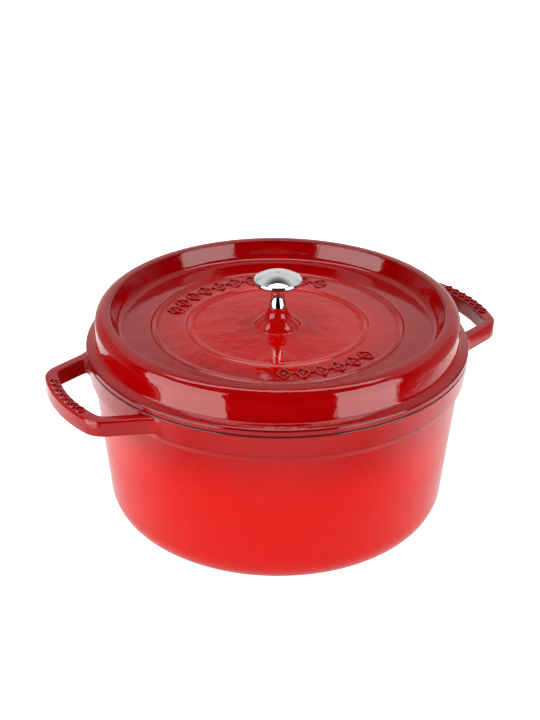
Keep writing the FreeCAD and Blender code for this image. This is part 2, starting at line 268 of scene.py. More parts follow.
red_enamel = glossy_red_enamel()
black_enamel = matt_black_enamel()
step_low = COLLAR_MIDDLE - COLLAR_STEP / 2
step_high = COLLAR_MIDDLE + COLLAR_STEP / 2
foot_inner = wall_radius(0) - POT_CORNER - FOOT_WIDTH
pot_profile, pot_thin = outline([
    (0, FOOT_DEPTH, 0),
    (foot_inner, FOOT_DEPTH, FOOT_DEPTH / 4),
    (foot_inner + FOOT_DEPTH, 0, FOOT_DEPTH / 4),
    (wall_radius(0), 0, POT_CORNER),
    (wall_radius(step_low), step_low, COLLAR_STEP / 2),
    (collar_radius(step_high), step_high, COLLAR_STEP / 2),
    (RIM_RADIUS, RIM_HEIGHT, SEAM_EDGE),
    (RIM_RADIUS - COLLAR_PROUD - POT_WALL, RIM_HEIGHT, CASTING_EDGE),
    (wall_radius(POT_BASE) - POT_WALL, POT_BASE, POT_CORNER - POT_WALL),
    (0, POT_BASE, 0)])
points, quads, caps = turned(pot_profile)
pot_deep = DEEPEST * smooth(*DEEP_HEIGHTS, points[:, 2])
# the red coat runs from the outer edge of the foot up to the middle of the rim's outer rounding
row_middle = (pot_profile[1:-2] + pot_profile[2:-1]) / 2
row = np.arange(len(row_middle))
red_from = np.argmax(row_middle[:, 0] > foot_inner + FOOT_WIDTH)
red_to = np.argmax(row_middle[:, 1] > RIM_HEIGHT - SEAM_EDGE / 2)
black_rows = np.repeat((row < red_from) | (row >= red_to), SEGMENTS)
pot_casting = new_piece("pot_casting", points, quads, caps, [red_enamel, black_enamel],
                        {"deep": pot_deep, "thin": np.append(np.repeat(pot_thin[1:-1], SEGMENTS), [0, 0])},
                        np.append(black_rows, np.ones(len(caps))))
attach(pot_casting, "pot")
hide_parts("pot")

# ---- Handles ----
# Two loop handles are cast with the pot, level with its collar. Each has two splayed legs, whose roots flare
# into the wall, and a bar that follows the pot's curve. They carry the same red enamel, sprayed deeper.

HANDLE_REACH = pot_high.x
HANDLE_CURVE = 0.121         # radius of the handle's outer edge
HANDLE_BAR = 0.010
HANDLE_LEG = 0.0085
HANDLE_HALF_WIDTH = 0.044
HANDLE_SPLAY = np.radians(20)
HANDLE_THICKNESS = 0.013
HANDLE_TOP = RIM_HEIGHT - 0.0016
HANDLE_BEND = 0.0150         # radius of the middle line where a leg meets the bar
HANDLE_EDGE = 0.0018
HANDLE_ROOT = 0.1385         # the roots end this far from the axis, inside the wall
FLARE_SIDE = 0.0060
FLARE_TOP = 0.0012
FLARE_UNDER = 0.0034
HANDLE_RING = 44             # points round a section
HANDLE_STATIONS = (36, 28, 60)    # sections along half the bar, a bend and a leg
HANDLE_THIN = 0.35           # share by which the enamel draws back on the handles
THIN_FADE = 0.012            # it reaches that share this far from the wall


def rounded_section(half_width, low, high, rounding, count):
    """A rounded rectangle for each half width: its points' places across and up, and the ways they face.

    Each corner is an arc of the rounding with a quarter of the points; the sides between them are straight.
    """
    quarter = count // 4
    angle = np.linspace(0, np.pi / 2, quarter)
    facing = np.concatenate([np.column_stack([np.cos(angle + turn), np.sin(angle + turn)])
                             for turn in np.pi / 2 * np.arange(4)])
    side = np.repeat([1, -1, -1, 1], quarter)
    end = np.repeat([1, 1, -1, -1], quarter)
    across = side * (half_width - rounding)[:, None] + facing[:, 0] * rounding
    height = (high + low) / 2 + end * ((high - low) / 2 - rounding) + facing[:, 1] * rounding
    return across, height, facing


def handle_half():
    """One half of the right handle, from the middle of its bar to a root: stations, ring, (x, y, z).

    The middle line is an arc about the bar's centre, a smaller arc that touches that arc from inside and
    the leg's line, and the straight leg. The small arc's centre is where the leg's line, moved in by its
    radius, meets the circle about the bar's centre that is smaller by the same radius. Each line of
    points along the leg runs its own length to the circle of the root, so the last stations follow the
    wall. Near the wall every point moves out along the wall, or up or down it, by a quarter circle that
    runs from nothing into the wall.
    """
    centre = np.array([HANDLE_REACH - HANDLE_CURVE, 0])
    bar = HANDLE_CURVE - HANDLE_BAR / 2
    leg = np.array([-np.cos(HANDLE_SPLAY), np.sin(HANDLE_SPLAY)])
    inward = np.array([-np.sin(HANDLE_SPLAY), -np.cos(HANDLE_SPLAY)])
    shoulder = centre + [np.sqrt(HANDLE_CURVE ** 2 - HANDLE_HALF_WIDTH ** 2), HANDLE_HALF_WIDTH]
    q = shoulder + inward * (HANDLE_LEG / 2 + HANDLE_BEND) - centre
    along = -q @ leg - np.sqrt((q @ leg) ** 2 - q @ q + (bar - HANDLE_BEND) ** 2)
    turn_centre = centre + q + along * leg
    spread = np.arctan2(*(turn_centre - centre)[::-1])
    leg_normal = np.arctan2(-inward[1], -inward[0])

    a = np.linspace(0, spread, HANDLE_STATIONS[0])
    b = np.linspace(spread, leg_normal, HANDLE_STATIONS[1])[1:]
    f = np.sin(np.linspace(0, np.pi / 2, HANDLE_STATIONS[2]))[1:]
    narrowing = smooth(spread, leg_normal, b)
    half_width = np.concatenate([np.full(len(a), HANDLE_BAR),
                                 HANDLE_BAR + (HANDLE_LEG - HANDLE_BAR) * narrowing,
                                 np.full(len(f), HANDLE_LEG)]) / 2
    across, height, facing = rounded_section(half_width, HANDLE_TOP - HANDLE_THICKNESS, HANDLE_TOP,
                                             HANDLE_EDGE, HANDLE_RING)
    on_bar, on_bend, on_leg = np.split(across[..., None], [len(a), len(a) + len(b)])
    start = turn_centre - inward * (HANDLE_BEND + on_leg[0])
    p = start @ leg
    length = -p - np.sqrt(p * p - (start ** 2).sum(1) + HANDLE_ROOT ** 2)
    flat = np.concatenate([
        centre + (bar + on_bar) * np.stack([np.cos(a), np.sin(a)], -1)[:, None],
        turn_centre + (HANDLE_BEND + on_bend) * np.stack([np.cos(b), np.sin(b)], -1)[:, None],
        start + leg * (f[:, None] * length)[..., None]])

    radius = np.hypot(flat[..., 0], flat[..., 1])
    clear = radius - collar_radius(height)

    def swell(reach):
        """A quarter circle of radius reach: nothing at that distance from the wall, and reach at the wall."""
        t = np.clip(1 - clear / reach, 0, 1)
        return reach * (1 - np.sqrt(1 - t * t))

    tangent = np.stack([-flat[..., 1], flat[..., 0]], -1) / radius[..., None]
    flat = flat + tangent * (facing[:, 0] * swell(FLARE_SIDE))[..., None]
    level = height + facing[:, 1] * np.where(facing[:, 1] > 0, swell(FLARE_TOP), swell(FLARE_UNDER))
    return np.dstack([flat, level]), clear


# the other half is its mirror image, and the left handle is the right one turned half round
half, clear = handle_half()
points = np.concatenate([half[:0:-1] * [1, -1, 1], half])
stations, ring = points.shape[:2]
row = np.arange(stations - 1)[:, None] * ring
k = np.arange(ring)
after = (k + 1) % ring
quads = np.stack([row + k, row + after, row + ring + after, row + ring + k], -1).reshape(-1, 4)[:, ::-1]
ends = [k.tolist(), (k[::-1] + (stations - 1) * ring).tolist()]
off_wall = smooth(0, THIN_FADE, np.concatenate([clear[:0:-1], clear])).ravel()
handle_attributes = {"deep": np.full(len(off_wall), DEEPEST), "thin": HANDLE_THIN * off_wall}
for name, turn in (("pot_handle_right", 1), ("pot_handle_left", -1)):
    handle = new_piece(name, points.reshape(-1, 3) * [turn, turn, 1], quads, ends, [red_enamel],
                       handle_attributes)
    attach(handle, "pot")

# ---- Grip ornament ----
# A row of raised lozenges with a pip in each stands on the top of each handle's bar, cast with it and
# enamelled over, so that a gloved hand doesn't slip. It is plain ornament.

GRIP_COUNT = 7
GRIP_PITCH = np.radians(3.9)
GRIP_LENGTH = 0.0034         # half lengths of a lozenge's middle line, along and across the bar
GRIP_WIDTH = 0.0032
GRIP_STROKE = 0.0005         # half the width of its line
GRIP_RISE = 0.0013
GRIP_PIP = 0.32              # size of a pip as a share of its lozenge
ORNAMENT_SUNK = 0.0004       # how far ornament reaches into the casting under it
LOZENGE_SEGMENTS = 40
LOZENGE_ROWS = 5
LOZENGE_TOP = 0.45           # share of its size that a pip or stud keeps at the top


def lozenge_path(length, width):
    """A lozenge with rounded corners: length and width times cos and sin raised to the power 1.5."""
    angle = 2 * np.pi * np.arange(LOZENGE_SEGMENTS) / LOZENGE_SEGMENTS
    c, s = np.cos(angle), np.sin(angle)
    return np.column_stack([length * np.sign(c) * abs(c) ** 1.5, width * np.sign(s) * abs(s) ** 1.5])


def lozenge(length, width, rise):
    """Points and faces of a low lozenge: its path drawn in along a quarter ellipse towards the top."""
    climb = np.linspace(0, np.pi / 2, LOZENGE_ROWS + 1)[:-1]
    size = np.append(1, LOZENGE_TOP + (1 - LOZENGE_TOP) * np.cos(climb))
    level = np.append(-ORNAMENT_SUNK, rise * np.sin(climb))
    rows = size[:, None, None] * lozenge_path(length, width)
    points = np.vstack([np.dstack([rows, np.broadcast_to(level[:, None], rows.shape[:2])]).reshape(-1, 3),
                        [[0, 0, -ORNAMENT_SUNK], [0, 0, rise]]])
    k = np.arange(LOZENGE_SEGMENTS)
    after = (k + 1) % LOZENGE_SEGMENTS
    row = np.arange(LOZENGE_ROWS)[:, None] * LOZENGE_SEGMENTS
    quads = np.stack([row + k, row + after, row + LOZENGE_SEGMENTS + after, row + LOZENGE_SEGMENTS + k], -1)
    low, high, last = len(points) - 2, len(points) - 1, LOZENGE_ROWS * LOZENGE_SEGMENTS
    caps = np.vstack([np.column_stack([np.full_like(k, low), after, k]),
                      np.column_stack([np.full_like(k, high), k + last, after + last])])
    return points, quads.reshape(-1, 4), caps


def lozenge_ring(length, width, stroke, rise):
    """Points and faces of a raised lozenge outline: a line with rounded edges carried along a lozenge's path.

    The line's section is a half circle flattened by the power 0.6: stroke times cos and rise times sin of the
    turn, both raised to it. It is closed by a flat strip underneath.
    """
    path = lozenge_path(length, width)
    tangent = np.roll(path, -1, 0) - np.roll(path, 1, 0)
    out = np.column_stack([tangent[:, 1], -tangent[:, 0]]) / np.linalg.norm(tangent, axis=1)[:, None]
    turn = np.linspace(0, np.pi, 10)
    across = np.append(np.sign(np.cos(turn)) * abs(np.cos(turn)) ** 0.6, [-1, 1]) * stroke
    level = np.append(np.sin(turn) ** 0.6 * rise, [-ORNAMENT_SUNK, -ORNAMENT_SUNK])
    points = np.dstack([path[:, None] + out[:, None] * across[:, None],
                        np.broadcast_to(level, (len(path), len(level)))]).reshape(-1, 3)
    i = np.arange(len(path))[:, None] * len(level)
    j = (i + len(level)) % len(points)
    k = np.arange(len(level))
    after = (k + 1) % len(level)
    return points, np.stack([i + k, j + k, j + after, i + after], -1).reshape(-1, 4), np.zeros((0, 3), int)


def set_round(shape, radius, angles, level, centre=(0, 0)):
    """Copies of a shape round a centre at a radius and level: its x lies along the circle, its y outwards."""
    points, quads, caps = shape
    a = np.asarray(angles)[:, None]
    out = radius + points[:, 1]
    x = centre[0] + out * np.cos(a) - points[:, 0] * np.sin(a)
    y = centre[1] + out * np.sin(a) + points[:, 0] * np.cos(a)
    placed = np.stack([x, y, np.broadcast_to(level + points[:, 2], x.shape)], -1).reshape(-1, 3)
    first = (np.arange(len(a)) * len(points))[:, None, None]
    # the shape's x runs against the circle's turning, so each face is read backwards
    return placed, (quads + first).reshape(-1, 4)[:, ::-1], (caps + first).reshape(-1, 3)[:, ::-1]


def joined(shapes):
    """Points, four-sided faces and triangles of several shapes as those of one."""
    first = np.cumsum([0] + [len(points) for points, _, _ in shapes])
    return (np.concatenate([points for points, _, _ in shapes]),
            np.concatenate([quads + n for (_, quads, _), n in zip(shapes, first)]),
            np.concatenate([caps + n for (_, _, caps), n in zip(shapes, first)]).tolist())


grip_angles = (np.arange(GRIP_COUNT) - (GRIP_COUNT - 1) / 2) * GRIP_PITCH
grip_place = (HANDLE_CURVE - HANDLE_BAR / 2, grip_angles, HANDLE_TOP, (HANDLE_REACH - HANDLE_CURVE, 0))
points, quads, caps = joined([
    set_round(lozenge_ring(GRIP_LENGTH, GRIP_WIDTH, GRIP_STROKE, GRIP_RISE), *grip_place),
    set_round(lozenge(GRIP_LENGTH * GRIP_PIP, GRIP_WIDTH * GRIP_PIP, GRIP_RISE), *grip_place)])
for name, turn in (("grip_ornament_right", 1), ("grip_ornament_left", -1)):
    grip = new_piece(name, points * [turn, turn, 1], quads, caps, [red_enamel],
                     {"deep": np.full(len(points), DEEPEST), "thin": np.full(len(points), HANDLE_THIN)})
    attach(grip, "pot")

# ---- Lid ----
# The lid is a second casting: a flange that rests on the rim, an upright wall, a raised ring, and a
# sunken floor with two beads and a boss for the knob. It is red on top and matt black underneath, with a
# rib inside the rim.

LID_SEAT = RIM_HEIGHT + 0.0003    # underside of the flange, a fine seam over the rim
LID_WALL = 0.0035
FLANGE_TOP = LID_SEAT + 0.0046
WALL_FOOT = FLANGE_TOP + 0.0028
LID_TOP = RIM_HEIGHT + 0.0306
LID_FLOOR = LID_TOP - 0.0151
LID_UNDER = LID_FLOOR - LID_WALL
FOOT_RADIUS = RIM_RADIUS - 0.0065
RING_OUTER = FOOT_RADIUS - 0.0010
RING_SHOULDER = 0.0080
RING_LIP = 0.0020
RING_INNER = RING_OUTER - 0.0110
WELL_RADIUS = RING_INNER - 0.0055
WELL_CORNER = 0.0060
GROOVE_TOP = LID_UNDER + 0.0140
RIB_OUTER = RIM_RADIUS - COLLAR_PROUD - POT_WALL - 0.0012
RIB_INNER = RIB_OUTER - 0.0035
RIB_DEPTH = 0.0040
RIB_BOTTOM = LID_SEAT - RIB_DEPTH
BEADS = (0.0666, 0.0930)
BEAD_HALF = 0.0025
BEAD_HEIGHT = 0.0012
BOSS_TOP = lid_high.z
BOSS_RADIUS = 0.0072
BOSS_WAIST = (0.0132, 0.0044)    # radius, and height over the floor, where the flank turns hollow
BOSS_FOOT = 0.0177
BORE = 0.0031                # radius of the hole for the screw
DEEP_RADII = (0.055, 0.112)  # the lid's red goes from bright to deep between these radii
LID_DEEP = 0.35              # share of the deep red in the middle of the lid


def bead(radius):
    """A bead from outside in, as points (radius, height): half a cosine wave on the lid's floor."""
    t = np.linspace(1, -1, 15)
    return np.column_stack([radius + BEAD_HALF * t, LID_FLOOR + BEAD_HEIGHT * (1 + np.cos(np.pi * t)) / 2])


def bezier(a, b, c, d, count):
    """Points of the cubic curve through a and d that leaves towards b and arrives from c."""
    t = np.linspace(0, 1, count)[:, None]
    a, b, c, d = map(np.array, (a, b, c, d))
    return a * (1 - t) ** 3 + 3 * b * t * (1 - t) ** 2 + 3 * c * t * t * (1 - t) + d * t ** 3


well_slope = (RING_INNER - WELL_RADIUS) / (LID_TOP - LID_FLOOR)
across = LID_WALL * np.hypot(1, well_slope)
# the boss: a steep cone up to its waist, a hollow flank from there to its top, and a fillet at its foot
waist = np.array([BOSS_WAIST[0], LID_FLOOR + BOSS_WAIST[1]])
cone = bezier((BOSS_FOOT, LID_FLOOR), (BOSS_FOOT - 0.0010, LID_FLOOR + 0.0016),
              waist + (0.0012, -0.0011), waist, 14)
hollow = bezier(waist, waist + (-0.0030, 0.0028), (BOSS_RADIUS + 0.0006, BOSS_TOP - 0.0060),
                (BOSS_RADIUS, BOSS_TOP), 22)
fillet = bezier((BOSS_FOOT + 0.0010, LID_FLOOR), (BOSS_FOOT + 0.0003, LID_FLOOR),
                (BOSS_FOOT, LID_FLOOR + 0.0001), cone[3], 7)[:-1]
flank = np.vstack([cone[3:-1], hollow])
outside, outside_thin = outline([
    (BORE, LID_UNDER, 0),
    (WELL_RADIUS - well_slope * LID_WALL + across, LID_UNDER, WELL_CORNER + LID_WALL),
    (WELL_RADIUS + well_slope * (GROOVE_TOP - LID_FLOOR) + across, GROOVE_TOP, CASTING_EDGE),
    (RIB_INNER, GROOVE_TOP, CASTING_EDGE),
    (RIB_INNER, RIB_BOTTOM, CASTING_EDGE),
    (RIB_OUTER - LEAN * RIB_DEPTH, RIB_BOTTOM, CASTING_EDGE),
    (RIB_OUTER, LID_SEAT, 0),
    (RIM_RADIUS, LID_SEAT, SEAM_EDGE),
    (RIM_RADIUS, FLANGE_TOP, CASTING_EDGE),
    (FOOT_RADIUS, WALL_FOOT, CASTING_EDGE),
    (RING_OUTER, LID_TOP, RING_SHOULDER),
    (RING_INNER, LID_TOP, RING_LIP),
    (WELL_RADIUS, LID_FLOOR, WELL_CORNER),
    (BEADS[1] + BEAD_HALF, LID_FLOOR, 0)])
bore, bore_thin = outline([
    (BOSS_RADIUS, BOSS_TOP, 0),
    (BORE, BOSS_TOP, 0)])
rings = [np.linspace(BEADS[1] - BEAD_HALF, BEADS[0] + BEAD_HALF, 9)[1:-1],
         np.linspace(BEADS[0] - BEAD_HALF, fillet[0, 0], 14)[1:-1]]
plain, inner_plain = (np.column_stack([radii, np.full(len(radii), LID_FLOOR)]) for radii in rings)
smooth_parts = [bead(BEADS[1])[1:], plain, bead(BEADS[0]), inner_plain, fillet, flank[:-1]]
parts = [outside] + smooth_parts + [bore]
thins = [outside_thin] + [np.zeros(len(part)) for part in smooth_parts] + [bore_thin]
lid_profile, lid_thin = np.concatenate(parts), np.concatenate(thins)
points, quads, caps = turned(lid_profile, closed=True)
lid_deep = LID_DEEP + (1 - LID_DEEP) * smooth(*DEEP_RADII, np.hypot(points[:, 0], points[:, 1]))
# the black coat covers the underside and ends near the flange's outer edge
under = np.arange(len(lid_profile)) < np.argmax(lid_profile[:, 0] > RIM_RADIUS - CASTING_EDGE)
lid_casting = new_piece("lid_casting", points, quads, caps, [red_enamel, black_enamel],
                        {"deep": lid_deep, "thin": np.repeat(lid_thin, SEGMENTS)}, np.repeat(under, SEGMENTS))
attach(lid_casting, "lid")
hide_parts("lid")

# ---- Lid ornament ----
# Raised lozenges with a pip in the middle of each and a small round stud between them are cast on the floor
# between the two beads, in two bows: a long one behind the knob and a short one in front of it.

ORNAMENT_RADIUS = 0.0805
ORNAMENT_LENGTH = 0.0046     # half lengths of a lozenge's middle line, along and across the bow
ORNAMENT_WIDTH = 0.0066
ORNAMENT_STROKE = 0.0008     # half the width of its line
ORNAMENT_RISE = 0.0013
STUD_RADIUS = 0.0013
PIP_SHARE = 0.36             # size of a pip as a share of its lozenge
ORNAMENT_DEEP = 0.75         # share of the deep red on the ornament
ORNAMENT_THIN = 0.25         # share by which its enamel draws back
ORNAMENT_PITCH = np.radians(9.8)
BACK_BOW = (np.radians(85.5), 11)      # middle and number of lozenges
FRONT_BOW = (np.radians(268.5), 6)

frame_shape = lozenge_ring(ORNAMENT_LENGTH, ORNAMENT_WIDTH, ORNAMENT_STROKE, ORNAMENT_RISE)
pip = lozenge(ORNAMENT_LENGTH * PIP_SHARE, ORNAMENT_WIDTH * PIP_SHARE, ORNAMENT_RISE)
stud = lozenge(STUD_RADIUS, STUD_RADIUS, ORNAMENT_RISE)
ornament = []
for middle, count in (BACK_BOW, FRONT_BOW):
    places = middle + (np.arange(count) - (count - 1) / 2) * ORNAMENT_PITCH
    ornament += [set_round(shape, ORNAMENT_RADIUS, angles, LID_FLOOR)
                 for shape, angles in ((frame_shape, places), (pip, places),
                                       (stud, places[:-1] + ORNAMENT_PITCH / 2))]
points, quads, caps = joined(ornament)
lid_ornament = new_piece("lid_ornament", points, quads, caps, [red_enamel],
                         {"deep": np.full(len(points), ORNAMENT_DEEP),
                          "thin": np.full(len(points), ORNAMENT_THIN)})
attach(lid_ornament, "lid")

# ---- Lid spikes ----
# Rings of short blunt spikes are cast under the lid. Steam condenses on them and drips back on the food.

SPIKE_RINGS = (0.030, 0.051, 0.072, 0.093)
SPIKE_PITCH = 0.021
SPIKE_HEIGHT = 0.0055
SPIKE_FOOT = 0.0046          # radius where the spike flares into the lid
SPIKE_TIP = 0.0013
SPIKE_SUNK = 0.001           # how far its foot reaches into the lid
SPIKE_SHANK, SPIKE_POINT = 0.8, 0.2    # shares of its height
SPIKE_HOLLOW = 2.2           # power of the flare
SPIKE_SEGMENTS = 20


def spike():
    """Points and faces of a spike that points down.

    Along the shank its radius falls from the foot's towards the tip's, as one less the depth, raised to
    the power SPIKE_HOLLOW. A quarter ellipse turned about the spike's axis rounds the point.
    """
    depth = np.linspace(0, SPIKE_SHANK, 6)
    radius = SPIKE_TIP + (SPIKE_FOOT - SPIKE_TIP) * (1 - depth) ** SPIKE_HOLLOW
    tip = np.linspace(0.25, np.pi / 2, 4)
    rounded = -SPIKE_HEIGHT * (SPIKE_SHANK + SPIKE_POINT * np.sin(tip))
    profile = np.vstack([[0, SPIKE_SUNK], [SPIKE_FOOT, SPIKE_SUNK],
                         np.column_stack([radius, -SPIKE_HEIGHT * depth]),
                         np.column_stack([radius[-1] * np.cos(tip), rounded])])
    return turned(profile[::-1], segments=SPIKE_SEGMENTS)


rings = []
for radius in SPIKE_RINGS:
    count = round(2 * np.pi * radius / SPIKE_PITCH)
    rings.append(set_round(spike(), radius, 2 * np.pi * np.arange(count) / count, LID_UNDER))
points, quads, caps = joined(rings)
lid_spikes = new_piece("lid_spikes", points, quads, caps, [black_enamel])
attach(lid_spikes, "lid")

# ---- Knob ----
# The knob is turned metal with polished chrome plate: a waisted stem under a domed disc with an upright edge.
# It is screwed down on the boss of the lid from underneath.

knob_low, knob_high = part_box("knob")
KNOB_RADIUS = knob_high.x
KNOB_RIM = 0.0038
KNOB_BULGE = 0.0010          # how far the middle of the disc's edge stands out
KNOB_DOME = 0.0056
KNOB_FOOT = 0.0071
KNOB_WAIST = 0.0046
KNOB_FLARE = 0.0070          # height over which the stem opens under the disc
CHROME = "E4E5E8"


def polished_chrome():
    """Bright chrome plate: a mirror, cooler than steel, with only the haze of the last buffing."""
    m = new_material("polished chrome plate")
    place = add(m, "ShaderNodeTexCoord").outputs["Object"]
    # buffing haze, in rings about the axis 0.4 mm apart
    flat = add(m, "ShaderNodeVectorMath", {0: place, 1: (1.0, 1.0, 0.0)}, operation="MULTIPLY")
    radius = add(m, "ShaderNodeVectorMath", {0: flat.outputs[0]}, operation="LENGTH")
    rings = add(m, "ShaderNodeTexNoise", {"W": radius.outputs["Value"], "Scale": 1 / 0.0004, "Detail": 2.0},
                noise_dimensions="1D")
    smear = add(m, "ShaderNodeTexNoise", {"Vector": place, "Scale": 1 / 0.009, "Detail": 2.0})
    rough = add(m, "ShaderNodeMapRange", {0: smear.outputs["Fac"], 1: 0.35, 2: 0.75, 3: 0.03, 4: 0.075})
    relief = add(m, "ShaderNodeBump", {"Height": rings.outputs["Fac"], "Strength": 0.25, "Distance": 0.00001})
    shader = add(m, "ShaderNodeBsdfPrincipled", {
        "Base Color": linear(CHROME), "Metallic": 1.0, "Roughness": rough.outputs[0],
        "Normal": relief.outputs["Normal"]})
    add(m, "ShaderNodeOutputMaterial", {"Surface": shader.outputs["BSDF"]})
    return m


edge_top = knob_high.z - KNOB_DOME
edge_bottom = edge_top - KNOB_RIM
waist = edge_bottom - KNOB_FLARE
disc = KNOB_RADIUS - KNOB_BULGE
# the stem narrows from its foot to a waist and opens into the disc, whose edge bulges by half an ellipse
stem = bezier((KNOB_FOOT, knob_low.z), (KNOB_FOOT - 0.0009, knob_low.z + 0.004),
              (KNOB_WAIST + 0.0003, waist - 0.004), (KNOB_WAIST, waist), 16)
opening = bezier((KNOB_WAIST, waist), (KNOB_WAIST, edge_bottom - KNOB_RIM),
                 (disc * 0.6, edge_bottom - KNOB_RIM), (disc, edge_bottom), 28)
half_turn = np.linspace(-np.pi / 2, np.pi / 2, 14)[1:-1]
rolled = np.column_stack([disc + KNOB_BULGE * np.cos(half_turn),
                          (edge_top + edge_bottom) / 2 + KNOB_RIM / 2 * np.sin(half_turn)])
# the dome falls as the square of the radius, with its points closer together near the edge
share = np.linspace(1, 0, 28) ** 0.8
dome = np.column_stack([disc * share, knob_high.z - KNOB_DOME * share ** 2])
foot_edge = np.linspace(0, KNOB_FOOT - 0.0002, 6)
foot = np.column_stack([foot_edge, np.full(len(foot_edge), knob_low.z)])
points, quads, caps = turned(np.vstack([foot, stem, opening[1:], rolled, dome]), segments=160)
knob_turned = new_piece("knob_turned", points, quads, caps, [polished_chrome()])
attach(knob_turned, "knob")
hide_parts("knob")

# ---- Screw and washers ----
# A stainless pan head screw with a cross slot holds the knob from under the lid, over a spring washer and
# a flat washer. These three pieces are the CAD ones with turned and rolled steel finishes.

STEEL = "A9A7A3"
STEEL_DARK = "827F7A"
SPRING = "6E6A64"
SPRING_DARK = "47433F"
RING_ROUGHNESS = 0.07        # the rings swing the roughness by this much


def turned_steel(name, bright, dark, spacing, roughness):
    """Stainless or spring steel as the lathe or the rolls left it: grey and satin, with fine rings."""
    m = new_material(name)
    place = add(m, "ShaderNodeTexCoord").outputs["Object"]
    flat = add(m, "ShaderNodeVectorMath", {0: place, 1: (1.0, 1.0, 0.0)}, operation="MULTIPLY")
    radius = add(m, "ShaderNodeVectorMath", {0: flat.outputs[0]}, operation="LENGTH")
    rings = add(m, "ShaderNodeTexNoise", {"W": radius.outputs["Value"], "Scale": 1 / spacing, "Detail": 3.0},
                noise_dimensions="1D")
    stain = add(m, "ShaderNodeTexNoise", {"Vector": place, "Scale": 1 / 0.003, "Detail": 3.0})
    colour = add(m, "ShaderNodeMix", {0: stain.outputs["Fac"], 6: linear(bright), 7: linear(dark)},
                 data_type="RGBA")
    rough = add(m, "ShaderNodeMapRange", {0: rings.outputs["Fac"], 1: 0.3, 2: 0.7,
                                          3: roughness - RING_ROUGHNESS, 4: roughness + RING_ROUGHNESS})
    relief = add(m, "ShaderNodeBump", {"Height": rings.outputs["Fac"], "Strength": 0.5, "Distance": 0.00002})
    shader = add(m, "ShaderNodeBsdfPrincipled", {
        "Base Color": colour.outputs[2], "Metallic": 1.0, "Roughness": rough.outputs[0],
        "Normal": relief.outputs["Normal"]})
    add(m, "ShaderNodeOutputMaterial", {"Surface": shader.outputs["BSDF"]})
    return m


# lathe rings are about 0.15 mm apart on the screw and 0.25 mm on the rolled washers
finishes = {"knob_screw": (turned_steel("turned stainless steel", STEEL, STEEL_DARK, 0.00015, 0.24),
                           "screw_steel"),
            "knob_washer": (turned_steel("rolled stainless steel", STEEL, STEEL_DARK, 0.00025, 0.30),
                            "washer_steel"),
            "knob_lock_washer": (turned_steel("oiled spring steel", SPRING, SPRING_DARK, 0.00025, 0.36),
                                 "lock_washer_steel")}
for name, (finish, slot) in finishes.items():
    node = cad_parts[name]
    node.data.materials.clear()
    node.data.materials.append(finish)

# ---- Floor, lights and camera ----
# The pot stands on white paper between two tall softboxes, under a long one, before a bright wall with a
# dim gap in it. The enamel mirrors the table, a glowing disc with painted shade in front of the pot and
# painted light beside it, drawn for that alone; the floor and the backdrop only fill the view.

TABLE_RADIUS = 0.42
TABLE_SIDES = 96
TABLE_LEVEL = -0.0002
FLOOR_LEVEL = -0.0006
FLOOR_SIZE = 12.0
DOME_RADIUS = FLOOR_SIZE * 0.7
PAPER = 0.82                 # share of the light that the paper gives back
PANEL_DISTANCE = 1.2
PANELS = ((186.1, 51.0), (294.6, 40.0))    # direction and width of each tall softbox, degrees
PANEL_HEIGHTS = (-0.46, 0.86)
PANEL_GLOW = 4.8
TOP_PLACE = (-0.008, -0.014, 1.75)
TOP_SIZE = (2.6, 0.52)
TOP_GLOW = 4.5
TOP_TURN = np.radians(-29.1)
BACK_DIRECTION = np.radians(57)
GAP_DIRECTION = (0.422, 0.768, 0.482)
FRONT = (-0.491, -0.871, 0.0)              # towards the camera, along the table
SIDE = (0.871, -0.491, 0.0)
CAMERA_PLACE = (-0.5758, -1.0219, 0.7230)
CAMERA_TURN = np.radians((62.801, 0.0, -29.137))
CAMERA_ROLL = np.radians(0.507)
CAMERA_LENS = 87.3


def white_floor(name, glow):
    """Plain white paper or laminate, lifted a little by its own glow."""
    m = new_material(name)
    place = add(m, "ShaderNodeTexCoord").outputs["Object"]
    fleck = add(m, "ShaderNodeTexNoise", {"Vector": place, "Scale": 1 / 0.04, "Detail": 2.0})
    rough = add(m, "ShaderNodeMapRange", {0: fleck.outputs["Fac"], 3: 0.75, 4: 0.85})
    shader = add(m, "ShaderNodeBsdfPrincipled", {
        "Base Color": (PAPER, PAPER, PAPER, 1), "Roughness": rough.outputs[0], "Specular IOR Level": 0.0,
        "Emission Strength": glow, "Emission Color": (1, 1, 1, 1)})
    add(m, "ShaderNodeOutputMaterial", {"Surface": shader.outputs["BSDF"]})
    return m


